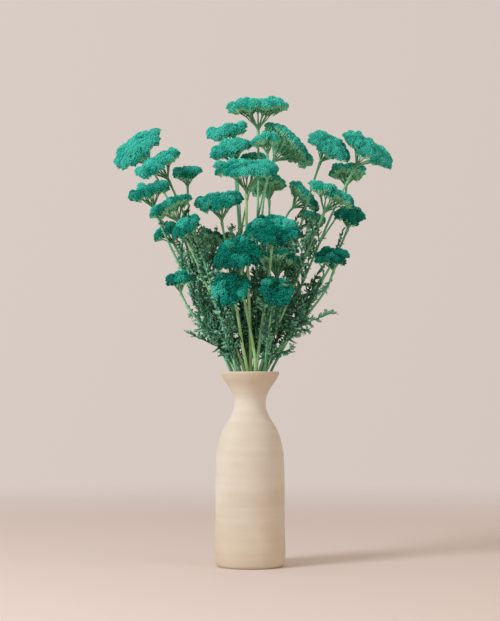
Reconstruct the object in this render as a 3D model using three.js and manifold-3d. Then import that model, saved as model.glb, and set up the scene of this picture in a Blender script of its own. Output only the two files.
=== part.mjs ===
// A bunch of dried fernleaf yarrow standing in a stoneware bottle vase.
// Millimetres, +Z up. The origin is the middle of the vase's underside, and -Y is the front.

import * as THREE from 'three';
import { mergeVertices } from 'three/addons/utils/BufferGeometryUtils.js';
import Module from 'manifold-3d';

const wasm = await Module();
wasm.setup();

// Vase: the outer outline from the foot up and the inner one from the lip down, [radius, height]
const vaseHeight = 280;
const vaseFloor = 6;
const vaseSides = 32;
const vaseOutside = [
  [46, 0], [49.6, 4], [50.2, 60], [49.4, 142], [47, 172], [39.6, 196], [29, 213.5],
  [23.6, 226], [22.6, 234], [23.8, 243.5], [29.8, 256.5], [38.8, 270], [42.2, 278],
];
const vaseInside = [
  [38.6, vaseHeight - 1.5], [34.6, 269], [25.4, 256.5], [19.2, 246], [17.6, 234],
  [19.6, 222], [33, 197.5], [42, 172], [45, 140], [43, vaseFloor + 2],
];
const lipInner = 39.6;
const lipOuter = 41.4;

// Stems: they stand close together in the neck, and lean apart from there
const stemFootRadius = 2.15;
const stemTopRadius = 1.6;
const stemBend = 0.17;
const stemArrival = 0.3;
const hubRadius = 2.4;
const footGap = 0.3;
const neckSpacing = 3.02;
const neckTop = 243;
const rimSpread = 2.25;
const branchRadius = 1.3;
const branchHubRadius = 1.9;
const branchLength = 105;

// Heads: the rays leave the stem at a hub below the rim of the head and carry its underside
const hubDepth = 11;
const hubDepthShare = 0.38;
const crownShare = 0.26;
const cupShare = 0.15;
const rimThickness = 3.2;
const knobHeight = 1.6;
const knobShare = 0.028;
const rayTipRadius = 0.9;
const rayReach = 0.62;
const rayGap = 0.4;

// Leaves: toothed blades with a raised rib, placed at random along the stems. The angles, in
// radians, are how far a leaf opens from its stem, curls over along its length, and twists
const leafTeeth = 4;
const leafLength = [48, 72];
const leafHalfWidth = 8.5;
const leafWaist = 1.2;
const leafRib = 0.7;
const leafStalk = 8;
const leafSunk = 1.3;
const leafWave = 1.5;
const leafOpening = [0.35, 0.62];
const leafCurl = [-0.1, 1.1];
const leafTwist = [-0.9, 0.9];
const leafFirst = 292;
const leafLast = 470;
const leafClearOfHead = 30;
const leafGap = 0.3;
const leafTries = 60;

// Stems that stand farther to a side than this have their leaves on their inner side
const leafInwardBeyond = 45;

const teal = 0x1aa58c;
const stemGreen = 0x6d9a74;
const stoneware = 0xe3d9c6;

// Every spray is one stem with its head: the middle of the head's rim, the rim's radius, and how
// far the head tilts to the right and leans to the front in degrees. Some carry a side head.
const sprays = [
  {
    at: [11, 5, 663], radius: 50, tilt: -2, lean: 7, leaves: 3,
    side: { at: [24, -20, 612], radius: 23, tilt: -4, lean: -6 },
  },
  { at: [-34, 60, 637], radius: 35, tilt: -14, lean: 18, leaves: 3 },
  {
    at: [-28, 6, 604], radius: 34, tilt: -18, lean: 21, leaves: 2,
    side: { at: [4, 48, 595], radius: 21, tilt: 4, lean: -8 },
  },
  { at: [52, 35, 613], radius: 50, tilt: 39, lean: -10, leaves: 3 },
  { at: [-4, -64, 561], radius: 49, tilt: 2, lean: 18, leaves: 0 },
  {
    at: [26, 78, 560], radius: 30, tilt: -8, lean: -15, leaves: 4,
    side: { at: [50, 88, 465], radius: 26, tilt: 8, lean: -5 },
  },
  { at: [-165, 40, 608], radius: 46, tilt: -40, lean: 27, leaves: 5 },
  {
    at: [-132, -14, 579], radius: 39, tilt: -34, lean: 19, leaves: 5,
    side: { at: [-95, 58, 576], radius: 24, tilt: -4, lean: 20 },
  },
  { at: [-146, -24, 537], radius: 34, tilt: -18, lean: 14, leaves: 5 },
  { at: [-112, -58, 512], radius: 35, tilt: -28, lean: 4, leaves: 6 },
  { at: [-44, -33, 520], radius: 39, tilt: -8, lean: 20, leaves: 4 },
  { at: [-86, -88, 481], radius: 25, tilt: -34, lean: 28, leaves: 5 },
  { at: [-123, 36, 485], radius: 23, tilt: -35, lean: 16, leaves: 5 },
  { at: [-56, 78, 478], radius: 27, tilt: 5, lean: -20, leaves: 5 },
  { at: [-101, -52, 408], radius: 20, tilt: -8, lean: 22, leaves: 3 },
  { at: [32, -92, 474], radius: 42, tilt: 4, lean: 35, leaves: 0 },
  { at: [-17, -84, 442], radius: 37, tilt: -12, lean: 42, leaves: 0 },
  { at: [-27, -92, 393], radius: 30, tilt: -20, lean: 58, leaves: 1 },
  { at: [37, -86, 389], radius: 27, tilt: 25, lean: 55, leaves: 1 },
  { at: [41, -18, 437], radius: 34, tilt: 8, lean: -20, leaves: 3 },
  {
    at: [115, 6, 607], radius: 37, tilt: 32, lean: 29, leaves: 5,
    side: { at: [79, 76, 543], radius: 32, tilt: 44, lean: 0 },
  },
  {
    at: [171, 12, 603], radius: 46, tilt: 37, lean: 21, leaves: 4,
    side: { at: [146, 76, 580], radius: 30, tilt: 3, lean: -14 },
  },
  { at: [116, -34, 531], radius: 40, tilt: 23, lean: 7, leaves: 4 },
  {
    at: [146, 4, 507], radius: 25, tilt: 8, lean: 30, leaves: 4,
    side: { at: [93, 80, 511], radius: 22, tilt: 20, lean: 12 },
  },
  { at: [118, -36, 442], radius: 27, tilt: -8, lean: 30, leaves: 4 },
];

// A repeatable stream of numbers between 0 and 1
function randomStream(seed) {
  let state = seed;
  return () => {
    state = (state * 48271) % 2147483647;
    return state / 2147483647;
  };
}

// A solid from its corners and its triangles, and back from a solid to a mesh's geometry
function solidOf(points, triangles) {
  const vertProperties = new Float32Array(points.flatMap((point) => point.toArray()));
  const triVerts = new Uint32Array(triangles.flat());
  return new wasm.Manifold(new wasm.Mesh({ numProp: 3, vertProperties, triVerts }));
}

function geometryOf(solid) {
  const mesh = solid.getMesh();
  const geometry = new THREE.BufferGeometry();
  geometry.setAttribute('position', new THREE.BufferAttribute(mesh.vertProperties, 3));
  geometry.setIndex(new THREE.BufferAttribute(mesh.triVerts, 1));
  return geometry;
}

// A tapering stem through the points. At its last point it opens into rays, one from each side,
// which spread like an umbrella's and stop just under the head that they carry
function rayedStem(points, radii, head, headPiece) {
  const axis = axisOf(head);
  const sides = rayCount(head);
  const last = points.length - 1;
  const vertices = [points[0].clone()];
  const triangles = [];
  const side = new THREE.Vector3(1, 0, 0);
  const across = new THREE.Vector3();
  const around = (centre, angle, reach) => centre.clone()
    .addScaledVector(side, reach * Math.cos(angle))
    .addScaledVector(across, reach * Math.sin(angle));
  points.forEach((point, i) => {
    const tangent = i < last ? points[i + 1].clone().sub(points[Math.max(i - 1, 0)]) : axis.clone();
    tangent.normalize();
    side.addScaledVector(tangent, -side.dot(tangent)).normalize();
    across.crossVectors(tangent, side);
    for (let j = 0; j < sides; j += 1) {
      vertices.push(around(point, (j / sides) * 2 * Math.PI, radii[i]));
    }
  });
  for (let j = 0; j < sides; j += 1) {
    const next = (j + 1) % sides;
    triangles.push([0, 1 + next, 1 + j]);
    for (let i = 0; i < last; i += 1) {
      const low = 1 + i * sides;
      const high = low + sides;
      triangles.push([low + j, low + next, high + next], [low + j, high + next, high + j]);
    }
  }
  const hub = vertices.length;
  vertices.push(points[last].clone());
  const spread = new THREE.Vector3(...head.at).addScaledVector(axis, rimThickness);
  for (let j = 0; j < sides; j += 1) {
    const middle = ((j + 0.5) / sides) * 2 * Math.PI;
    const aim = around(spread, middle, rayReach * head.radius);
    const base = [hub, 1 + last * sides + j, 1 + last * sides + ((j + 1) % sides)];
    const tip = base.map((index, k) => {
      const corner = around(aim, middle + Math.PI + k * 2 * Math.PI / 3, rayTipRadius);
      vertices.push(underside(headPiece, vertices[index], corner));
      return vertices.length - 1;
    });
    base.forEach((index, k) => {
      const [from, to] = [k, (k + 1) % 3];
      triangles.push([index, base[to], tip[to]], [index, tip[to], tip[from]]);
    });
    triangles.push(tip);
  }
  return solidOf(vertices, triangles);
}

// Where a line towards a head ends: just short of its underside
function underside(headPiece, from, towards) {
  const direction = towards.clone().sub(from).normalize();
  const skin = new THREE.Mesh(geometryOf(headPiece), new THREE.MeshBasicMaterial());
  const [first] = new THREE.Raycaster(from, direction).intersectObject(skin);
  return from.clone().addScaledVector(direction, first.distance - rayGap);
}

// The vase: one turned wall with a flat underside, a narrow neck and a flared lip
function vaseGeometry() {
  const outline = [
    [0, 0], ...vaseOutside, [lipOuter, vaseHeight], [lipInner, vaseHeight], ...vaseInside,
    [40, vaseFloor], [0, vaseFloor],
  ];
  const geometry = new THREE.LatheGeometry(outline.map(([r, z]) => new THREE.Vector2(r, z)), vaseSides);
  geometry.rotateX(Math.PI / 2);
  geometry.deleteAttribute('normal');
  geometry.deleteAttribute('uv');
  return mergeVertices(geometry);
}

// The way a head faces: straight up, tilted to the right and leant to the front
function axisOf(head) {
  const tilt = THREE.MathUtils.degToRad(head.tilt);
  const lean = THREE.MathUtils.degToRad(head.lean);
  return new THREE.Vector3(
    Math.sin(tilt) * Math.cos(lean),
    -Math.sin(lean),
    Math.cos(tilt) * Math.cos(lean),
  );
}

// Turns and moves a head's own points, whose +Z is the way that the head faces
function placeOf(head) {
  const turn = new THREE.Quaternion().setFromUnitVectors(new THREE.Vector3(0, 0, 1), axisOf(head));
  return new THREE.Matrix4().compose(new THREE.Vector3(...head.at), turn, new THREE.Vector3(1, 1, 1));
}

// Large heads have more rays
function rayCount(head) {
  return head.radius > 40 ? 7 : head.radius > 26 ? 6 : 5;
}

// Where the rays of a head meet, below it
function hubOf(head) {
  const depth = hubDepth + hubDepthShare * head.radius;
  return new THREE.Vector3(...head.at).addScaledVector(axisOf(head), -depth);
}

// The cupped underside, at a share of the radius
function undersideHeight(head, share) {
  return cupShare * head.radius * (1 - share * share) - 0.5;
}

// A flat-topped head: a low dome of knobs over a shallow cupped underside, with a wavy rim
function headSolid(head, random) {
  const radius = head.radius;
  const crown = crownShare * radius;
  const knob = knobHeight + knobShare * radius;
  const sectors = radius > 40 ? 20 : radius > 26 ? 16 : 12;
  const phase = random() * 2 * Math.PI;
  const lobes = (angle) => 1 + 0.05 * Math.sin(3 * angle + phase) + 0.035 * Math.sin(5 * angle - phase);
  const place = placeOf(head);
  const points = [];
  const ring = (share, count, heightAt) => {
    const first = points.length;
    for (let j = 0; j < count; j += 1) {
      const angle = (j / count) * 2 * Math.PI;
      const reach = share * radius * lobes(angle);
      const jitter = 1 + 0.03 * (random() - 0.5);
      points.push(new THREE.Vector3(
        reach * jitter * Math.cos(angle),
        reach * jitter * Math.sin(angle),
        heightAt(j),
      ));
    }
    return { first, count };
  };
  const domeHeight = (share) => rimThickness + crown * (1 - share * share);
  const raised = (share, row) => (j) => domeHeight(share) + ((j + row) % 2 ? knob : -knob);

  points.push(new THREE.Vector3(0, 0, domeHeight(0) - knob));
  const rings = [
    ring(0.26, sectors / 2, raised(0.26, 0)),
    ring(0.52, sectors, raised(0.52, 1)),
    ring(0.77, sectors, raised(0.77, 0)),
    ring(0.97, sectors, raised(0.94, 1)),
    ring(0.9, sectors, () => -rimThickness),
    ring(0.5, sectors / 2, () => undersideHeight(head, 0.5)),
  ];
  points.push(new THREE.Vector3(0, 0, undersideHeight(head, 0)));

  const triangles = [];
  const fan = (centre, { first, count }, outward) => {
    for (let j = 0; j < count; j += 1) {
      const a = first + j;
      const b = first + ((j + 1) % count);
      triangles.push(outward ? [centre, a, b] : [centre, b, a]);
    }
  };
  const band = (inner, outer, row) => {
    for (let j = 0; j < inner.count; j += 1) {
      const next = (j + 1) % inner.count;
      const [a, b] = [inner.first + j, inner.first + next];
      if (inner.count === outer.count) {
        const [c, d] = [outer.first + j, outer.first + next];
        triangles.push(...((j + row) % 2 ? [[a, c, d], [a, d, b]] : [[a, c, b], [b, c, d]]));
      } else {
        const [c, d] = [outer.first + 2 * j, outer.first + 2 * j + 1];
        const e = outer.first + ((2 * j + 2) % outer.count);
        triangles.push([a, c, d], [a, d, b], [b, d, e]);
      }
    }
  };
  const closeIn = (outer, inner) => {
    for (let j = 0; j < inner.count; j += 1) {
      const [a, b] = [inner.first + j, inner.first + ((j + 1) % inner.count)];
      const [c, d] = [outer.first + 2 * j, outer.first + 2 * j + 1];
      const e = outer.first + ((2 * j + 2) % outer.count);
      triangles.push([a, d, c], [a, b, d], [b, e, d]);
    }
  };
  fan(0, rings[0], true);
  band(rings[0], rings[1], 0);
  band(rings[1], rings[2], 1);
  band(rings[2], rings[3], 0);
  band(rings[3], rings[4], 1);
  closeIn(rings[4], rings[5]);
  fan(points.length - 1, rings[5], false);
  return solidOf(points.map((point) => point.applyMatrix4(place)), triangles);
}

// Places in the neck, spread as seeds are in a flower, and one for each spray: places are
// exchanged until the stems lean away from each other as evenly as they can, so none cross
function neckPlaces() {
  const goldenAngle = Math.PI * (3 - Math.sqrt(5));
  const places = sprays.map((spray, i) => {
    const radius = neckSpacing * Math.sqrt(i + 0.4);
    return new THREE.Vector2(radius * Math.cos(i * goldenAngle), radius * Math.sin(i * goldenAngle));
  });
  const slopes = sprays.map((spray) => {
    const hub = hubOf(spray);
    return new THREE.Vector2(hub.x, hub.y).divideScalar(hub.z - neckTop);
  });
  let exchanged = true;
  while (exchanged) {
    exchanged = false;
    for (let i = 0; i < places.length; i += 1) {
      for (let j = i + 1; j < places.length; j += 1) {
        const apart = places[i].clone().sub(places[j]);
        if (apart.dot(slopes[i].clone().sub(slopes[j])) < 0) {
          [places[i], places[j]] = [places[j], places[i]];
          exchanged = true;
        }
      }
    }
  }
  return places;
}

// A stem's line: upright from the vase's floor to the neck, then out past the lip to the hub
function stemPoints(spray, place) {
  const hub = hubOf(spray);
  const foot = new THREE.Vector3(place.x, place.y, vaseFloor + footGap);
  const neck = new THREE.Vector3(place.x, place.y, neckTop);
  const lip = new THREE.Vector3(place.x * rimSpread, place.y * rimSpread, vaseHeight + 2);
  const lean = hub.clone().sub(lip);
  const arrive = axisOf(spray).multiplyScalar(stemArrival).add(lean.clone().normalize()).normalize();
  const near = hub.clone().addScaledVector(arrive, -stemBend * lean.length());
  const rise = new THREE.CatmullRomCurve3([neck, lip, lip.clone().lerp(near, 0.5), near, hub]);
  return [foot, ...rise.getPoints(8)];
}

function stemRadii(points) {
  const last = points.length - 1;
  const radii = points.map((point, i) => THREE.MathUtils.lerp(stemFootRadius, stemTopRadius, i / last));
  radii[last] = hubRadius;
  return radii;
}

// A side branch leaves the stem below its hub and rises to the hub of the side head
function branchPoints(points, side) {
  const hub = hubOf(side);
  const fork = new THREE.CatmullRomCurve3(points);
  let share = 1;
  while (fork.getPoint(share).distanceTo(hub) < branchLength) {
    share -= 0.01;
  }
  const from = fork.getPoint(share);
  const reach = from.distanceTo(hub);
  const leave = from.clone().addScaledVector(fork.getTangent(share), 0.3 * reach);
  const arrive = hub.clone().addScaledVector(axisOf(side), -0.35 * reach);
  return new THREE.CubicBezierCurve3(from, leave, arrive, hub).getPoints(5);
}

// A leaf: one thin arched blade on a short stalk, cut into teeth down to its rib on both sides.
// The stalk narrows to a point inside the stem that it grows from
function leafSolid(root, direction, outward, length, curl, twist) {
  const across = direction.clone().cross(outward).normalize();
  const heading = direction.clone();
  const step = (length - leafStalk) / (leafTeeth + 1);
  const rib = [root.clone().addScaledVector(direction, leafStalk)];
  const blade = [];
  const up = [];
  for (let i = 0; i <= leafTeeth; i += 1) {
    blade.push(across.clone().applyAxisAngle(heading, twist * i / leafTeeth));
    up.push(blade[i].clone().cross(heading).normalize());
    rib.push(rib[i].clone().addScaledVector(heading, step));
    heading.applyAxisAngle(across, -curl / leafTeeth);
  }
  const vertices = [root.clone().addScaledVector(direction, -leafSunk)];
  const stations = rib.slice(0, -1).map((point, i) => {
    const top = vertices.length;
    vertices.push(point.clone().addScaledVector(up[i], leafRib));
    vertices.push(point.clone().addScaledVector(up[i], -leafRib));
    vertices.push(point.clone().addScaledVector(blade[i], leafWaist));
    vertices.push(point.clone().addScaledVector(blade[i], -leafWaist));
    return { top, bottom: top + 1, left: top + 2, right: top + 3 };
  });
  const foot = stations[0];
  const triangles = [
    [0, foot.left, foot.top], [0, foot.top, foot.right],
    [0, foot.bottom, foot.left], [0, foot.right, foot.bottom],
  ];
  for (let i = 0; i < leafTeeth; i += 1) {
    const [low, high] = [stations[i], stations[i + 1]];
    const swell = Math.sin(Math.PI * (i + 0.9) / (leafTeeth + 0.9));
    const wave = i % 2 ? leafWave : -leafWave;
    const [left, right] = [1, -1].map((hand) => {
      const tooth = rib[i].clone().lerp(rib[i + 1], 0.9);
      tooth.addScaledVector(blade[i], hand * leafHalfWidth * swell);
      vertices.push(tooth.addScaledVector(up[i], wave));
      return vertices.length - 1;
    });
    triangles.push(
      [low.top, low.left, left], [low.top, left, high.top], [left, high.left, high.top],
      [low.top, right, low.right], [low.top, high.top, right], [right, high.top, high.right],
      [low.bottom, left, low.left], [low.bottom, high.bottom, left], [left, high.bottom, high.left],
      [low.bottom, low.right, right], [low.bottom, right, high.bottom],
      [right, high.right, high.bottom],
    );
  }
  const end = stations[leafTeeth];
  const tip = vertices.length;
  vertices.push(rib[leafTeeth + 1].clone());
  triangles.push(
    [end.top, end.left, tip], [end.top, tip, end.right],
    [end.bottom, tip, end.left], [end.bottom, end.right, tip],
  );
  return solidOf(vertices, triangles);
}

function boxesMeet(a, b, gap) {
  return [0, 1, 2].every((k) => a.min[k] - gap < b.max[k] && b.min[k] - gap < a.max[k]);
}

// Leaves are tried at random along a stem, and one stays where it clears every other piece
function growLeaves(spray, points, others, random) {
  const curve = new THREE.CatmullRomCurve3(points);
  const grown = [];
  const between = ([low, high]) => low + (high - low) * random();
  const top = Math.min(leafLast, hubOf(spray).z - leafClearOfHead);
  for (let attempt = 0; attempt < leafTries && grown.length < spray.leaves; attempt += 1) {
    const height = leafFirst + (top - leafFirst) * ((grown.length + random()) / spray.leaves);
    let share = 0.1;
    while (curve.getPoint(share).z < height && share < 0.99) {
      share += 0.01;
    }
    const root = curve.getPoint(share);
    const along = curve.getTangent(share);
    const turn = random() * 2 * Math.PI;
    const outward = new THREE.Vector3(Math.cos(turn), Math.sin(turn), 0);
    if (Math.abs(root.x) > leafInwardBeyond && outward.x * root.x > 0) {
      outward.x = -outward.x;
    }
    outward.addScaledVector(along, -outward.dot(along)).normalize();
    const opening = between(leafOpening);
    const direction = along.clone().multiplyScalar(Math.cos(opening));
    direction.addScaledVector(outward, Math.sin(opening));
    const length = between(leafLength);
    const curl = between(leafCurl);
    const leaf = leafSolid(root, direction, outward, length, curl, between(leafTwist));
    const box = leaf.boundingBox();
    const near = [...others, ...grown].filter((other) => boxesMeet(box, other.boundingBox(), leafGap));
    if (near.every((other) => leaf.minGap(other, 2 * leafGap) > leafGap)) {
      grown.push(leaf);
    }
  }
  return grown;
}

const group = new THREE.Group();

function addPiece(name, geometry, color, roughness) {
  const material = new THREE.MeshStandardMaterial({ color, roughness, metalness: 0 });
  const mesh = new THREE.Mesh(geometry, material);
  mesh.name = name;
  group.add(mesh);
}

addPiece('vase', vaseGeometry(), stoneware, 0.85);

const random = randomStream(20817);
const places = neckPlaces();
const bunch = sprays.map((spray, i) => {
  const points = stemPoints(spray, places[i]);
  const heads = [headSolid(spray, random)];
  let stem = rayedStem(points, stemRadii(points), spray, heads[0]);
  if (spray.side) {
    heads.push(headSolid(spray.side, random));
    const branch = branchPoints(points, spray.side);
    const radii = branch.map(() => branchRadius);
    radii[branch.length - 1] = branchHubRadius;
    stem = stem.add(rayedStem(branch, radii, spray.side, heads[1]));
  }
  return { spray, points, heads, stem };
});

bunch.forEach((plant) => {
  const others = bunch.filter((other) => other !== plant).map((other) => other.stem);
  others.push(...bunch.flatMap((other) => other.heads));
  const leaves = growLeaves(plant.spray, plant.points, others, random);
  plant.stem = wasm.Manifold.union([plant.stem, ...leaves]);
});

bunch.forEach(({ stem, heads }, i) => {
  const number = String(i + 1).padStart(2, '0');
  addPiece(`stem_${number}`, geometryOf(stem), stemGreen, 0.8);
  addPiece(`head_${number}`, geometryOf(heads[0]), teal, 0.9);
  if (heads.length > 1) {
    addPiece(`head_${number}_side`, geometryOf(heads[1]), teal, 0.9);
  }
});

export default group;
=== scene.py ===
import math
import random

import bmesh
import bpy
import numpy as np
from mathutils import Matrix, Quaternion, Vector, noise
from mathutils.bvhtree import BVHTree


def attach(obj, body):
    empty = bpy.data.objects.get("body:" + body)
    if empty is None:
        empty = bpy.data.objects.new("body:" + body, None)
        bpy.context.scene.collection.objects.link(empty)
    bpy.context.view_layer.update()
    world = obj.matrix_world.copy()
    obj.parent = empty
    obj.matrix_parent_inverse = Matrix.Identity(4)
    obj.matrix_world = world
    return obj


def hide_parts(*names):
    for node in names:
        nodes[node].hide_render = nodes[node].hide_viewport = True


# A bunch of dried fernleaf yarrow in a stoneware bottle vase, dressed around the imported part.
# Metres, +Z up, and -Y is the front.
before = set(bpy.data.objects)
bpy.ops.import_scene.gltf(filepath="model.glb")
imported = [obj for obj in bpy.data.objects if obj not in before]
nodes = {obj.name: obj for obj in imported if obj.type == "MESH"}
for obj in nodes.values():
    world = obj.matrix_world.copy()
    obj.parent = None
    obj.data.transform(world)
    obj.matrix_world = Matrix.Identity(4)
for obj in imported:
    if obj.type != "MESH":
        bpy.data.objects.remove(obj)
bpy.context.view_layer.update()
scene = bpy.context.scene


class Link:  # one output of a node: a sum or product of it adds the nodes that work it out
    def __init__(self, tree, socket):
        self.tree = tree
        self.socket = socket

    def output(self, name):
        return Link(self.tree, self.socket.node.outputs[name])

    def maths(self, operation, *values):  # of itself alone where no values are given
        numbers = dict(enumerate(values or [self]))
        return self.tree.add("ShaderNodeMath", numbers, operation=operation)

    def __add__(self, other):
        return self.maths("ADD", self, other)

    def __radd__(self, other):
        return self.maths("ADD", other, self)

    def __sub__(self, other):
        return self.maths("SUBTRACT", self, other)

    def __rsub__(self, other):
        return self.maths("SUBTRACT", other, self)

    def __mul__(self, other):
        return self.maths("MULTIPLY", self, other)

    def __rmul__(self, other):
        return self.maths("MULTIPLY", other, self)

    def __truediv__(self, other):
        return self.maths("DIVIDE", self, other)


class Tree:  # a shader or geometry tree whose nodes all come from add()
    def __init__(self, nodeTree):
        self.nodeTree = nodeTree
        self.inputs = {}

    def add(self, kind, values=None, **settings):
        node = self.nodeTree.nodes.new(kind)
        for name, value in settings.items():
            setattr(node, name, value)
        for key, value in (values or {}).items():
            socket = node.inputs[key] if isinstance(key, int) else self.named(node.inputs, key)
            for one in value if isinstance(value, list) else [value]:
                if isinstance(one, Link):
                    self.nodeTree.links.new(one.socket, socket)
                else:
                    socket.default_value = one
        shown = [socket for socket in node.outputs if socket.enabled]
        return Link(self, shown[0]) if shown else node

    def named(self, sockets, name):
        return next(socket for socket in sockets if socket.name == name and socket.enabled)

    def vector(self, operation, *values, **named):
        sockets = {**dict(enumerate(values)), **named}
        return self.add("ShaderNodeVectorMath", sockets, operation=operation)

    def scaled(self, vector, size):
        return self.vector("SCALE", vector, Scale=size)

    def point(self, *axes):
        return self.add("ShaderNodeCombineXYZ", dict(enumerate(axes)))

    def axes(self, vector):
        split = self.add("ShaderNodeSeparateXYZ", {0: vector})
        return [split.output(axis) for axis in "XYZ"]

    def noise(self, vector, scale, detail=2.0, roughness=0.5):  # three scales: one for each axis
        if isinstance(scale, tuple):
            vector, scale = self.vector("MULTIPLY", vector, scale), 1.0
        settings = {"Vector": vector, "Scale": scale, "Detail": detail, "Roughness": roughness}
        return self.add("ShaderNodeTexNoise", settings)

    def span(self, value, low, high, start=0.0, end=1.0):
        ends = {"From Min": low, "From Max": high, "To Min": start, "To Max": end}
        return self.add(
            "ShaderNodeMapRange", {"Value": value, **ends}, interpolation_type="SMOOTHSTEP",
        )

    def weighed(self, weights, first, *others):  # a sum in which each link has its own weight
        total = first * weights[0]
        for weight, link in zip(weights[1:], others):
            total = total + link * weight
        return total

    def mixed(self, factor, first, second):
        colours = {"Factor": factor, "A": first, "B": second}
        return self.add("ShaderNodeMix", colours, data_type="RGBA", clamp_factor=True)

    def blend(self, value, ends, first, second):
        return self.mixed(self.span(value, *ends), first, second)

    def place(self):  # the point that a material colours, in metres
        return self.add("ShaderNodeTexCoord").output("Object")

    def painted(self, name):  # an attribute in a material
        return self.add("ShaderNodeAttribute", attribute_name=name).output("Fac")

    def read(self, name, kind="FLOAT"):  # an attribute in a geometry tree
        return self.add("GeometryNodeInputNamedAttribute", {"Name": name}, data_type=kind)

    def store(self, geometry, name, value, domain="POINT", kind="FLOAT"):
        values = {"Geometry": geometry, "Name": name, "Value": value}
        return self.add("GeometryNodeStoreNamedAttribute", values, data_type=kind, domain=domain)

    def mesh(self, name):  # of an object that is one of the tree's inputs
        entry = {"Object": self.entry[name]}
        info = self.add("GeometryNodeObjectInfo", entry, transform_space="ORIGINAL")
        return info.output("Geometry")

    def facing(self, way, angle):  # turns +Z to a way, after a spin by the angle
        upright = self.add("FunctionNodeAlignRotationToVector", {"Vector": way}, axis="Z")
        spin = self.add("FunctionNodeAxisAngleToRotation", {"Axis": (0, 0, 1), "Angle": angle})
        turns = {"Rotation": upright, "Rotate By": spin}
        return self.add("FunctionNodeRotateRotation", turns, rotation_space="LOCAL")

    def circle(self, sides):
        return self.add("GeometryNodeCurvePrimitiveCircle", {"Resolution": sides, "Radius": 1.0})

    def tube(self, lines, profile):
        return self.add("GeometryNodeCurveToMesh", {
            "Curve": lines, "Profile Curve": profile, "Scale": self.read("girth"),
            "Fill Caps": True,
        })

    def moved(self, geometry, **where):
        return self.add("GeometryNodeSetPosition", {"Geometry": geometry, **where})

    def joined(self, *parts):
        return self.add("GeometryNodeJoinGeometry", {"Geometry": list(parts)})

    def smoothed(self, *meshes):
        return self.add("GeometryNodeSetShadeSmooth", {"Geometry": self.joined(*meshes)})


def colour(red, green, blue):  # a screen colour, 0 to 255, as the light values that shaders take
    steps = [value / 255 for value in (red, green, blue)]
    light = [v / 12.92 if v < 0.04045 else ((v + 0.055) / 1.055) ** 2.4 for v in steps]
    return (*light, 1.0)


def newMaterial(name):
    material = bpy.data.materials.new(name)
    material.use_nodes = True
    material.node_tree.nodes.clear()
    return material, Tree(material.node_tree)


def finishMaterial(tree, base, relief, grain, style):  # matt, and rougher where the grain is high
    strength, distance = style["bump"]
    smoothest, rougher = style["roughness"]
    bump = {"Height": relief, "Strength": strength, "Distance": distance}
    shader = tree.add("ShaderNodeBsdfPrincipled", {
        "Base Color": base, "Roughness": smoothest + rougher * grain,
        "Normal": tree.add("ShaderNodeBump", bump), "Specular IOR Level": style["specular"],
    })
    tree.add("ShaderNodeOutputMaterial", {"Surface": shader})


def newGeometryTree(name, inputs):  # with their values, and None for one that takes an object
    group = bpy.data.node_groups.new(name, "GeometryNodeTree")
    group.interface.new_socket("Geometry", in_out="INPUT", socket_type="NodeSocketGeometry")
    group.interface.new_socket("Geometry", in_out="OUTPUT", socket_type="NodeSocketGeometry")
    tree = Tree(group)
    for label, value in inputs.items():
        kind = {int: "Int", float: "Float"}.get(type(value), "Object")
        made = group.interface.new_socket(label, in_out="INPUT", socket_type="NodeSocket" + kind)
        tree.inputs[label] = made.identifier
    entry = group.nodes.new("NodeGroupInput")
    tree.entry = {socket.name: Link(tree, socket) for socket in entry.outputs if socket.name}
    return tree


def endGeometryTree(tree, geometry, material):
    real = tree.add("GeometryNodeRealizeInstances", {"Geometry": geometry})
    dressed = tree.add("GeometryNodeSetMaterial", {"Geometry": real, "Material": material})
    tree.add("NodeGroupOutput", {"Geometry": dressed})
    return tree


def linked(name, data):
    made = bpy.data.objects.new(name, data)
    scene.collection.objects.link(made)
    return made


def grow(name, mesh, tree, values):  # runs a tree on a mesh and keeps the result as a plain mesh
    seedObject = linked(name + "_seed", mesh)
    modifier = seedObject.modifiers.new("grow", "NODES")
    modifier.node_group = tree.nodeTree
    for label, value in values.items():
        modifier[tree.inputs[label]] = value
    result = seedObject.evaluated_get(bpy.context.evaluated_depsgraph_get())
    grown = bpy.data.meshes.new_from_object(result)
    seedObject.modifiers.remove(modifier)
    bpy.data.objects.remove(seedObject)
    grown.name = name
    return linked(name, grown)


def newMesh(name, points, edges=(), faces=()):
    mesh = bpy.data.meshes.new(name)
    mesh.from_pydata(points, edges, faces)
    return mesh


def keptMesh(name, solid):
    mesh = bpy.data.meshes.new(name)
    solid.to_mesh(mesh)
    solid.free()
    return mesh


def addAttribute(mesh, name, values, kind="FLOAT"):
    field = "vector" if kind == "FLOAT_VECTOR" else "value"
    number = {"INT": np.int32, "BOOLEAN": bool}.get(kind, np.float32)
    layer = mesh.attributes.new(name, kind, "POINT")
    layer.data.foreach_set(field, np.array(values, number).ravel())


def addAttributes(mesh, kinds, rows):  # a row for each corner, which holds its values
    for name, kind in kinds.items():
        addAttribute(mesh, name, [row[name] for row in rows], kind)


def handOver(piece, node):
    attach(piece, "root")
    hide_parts(node)


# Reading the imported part

layout = {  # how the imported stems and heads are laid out: metres, and shares of a head's radius
    "hubDepth": 0.011,
    "hubDepthShare": 0.38,
    "cupShare": 0.15,
    "cupDrop": 0.0005,
    "rings": 5,
    "rimRings": 2,
    "rimRingsReach": 0.935,
    "rayCounts": ((0.04, 7), (0.026, 6), (0, 5)),
    "rayReach": 0.62,
    "rayChecks": 72,
    "rayCheckSteps": 12,
    "footRadius": 0.00215,
    "topRadius": 0.0016,
    "hubRadius": 0.0024,
    "branchRadius": 0.0013,
    "branchHubRadius": 0.0019,
    "branchLength": 0.105,
    "branchPull": (0.3, 0.35),
    "bend": 0.17,
    "arrival": 0.3,
    "neckTop": 0.243,
    "lipTop": 0.282,
    "rimSpread": 2.25,
    "stemSteps": 10,
    "branchSteps": 16,
}


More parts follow.
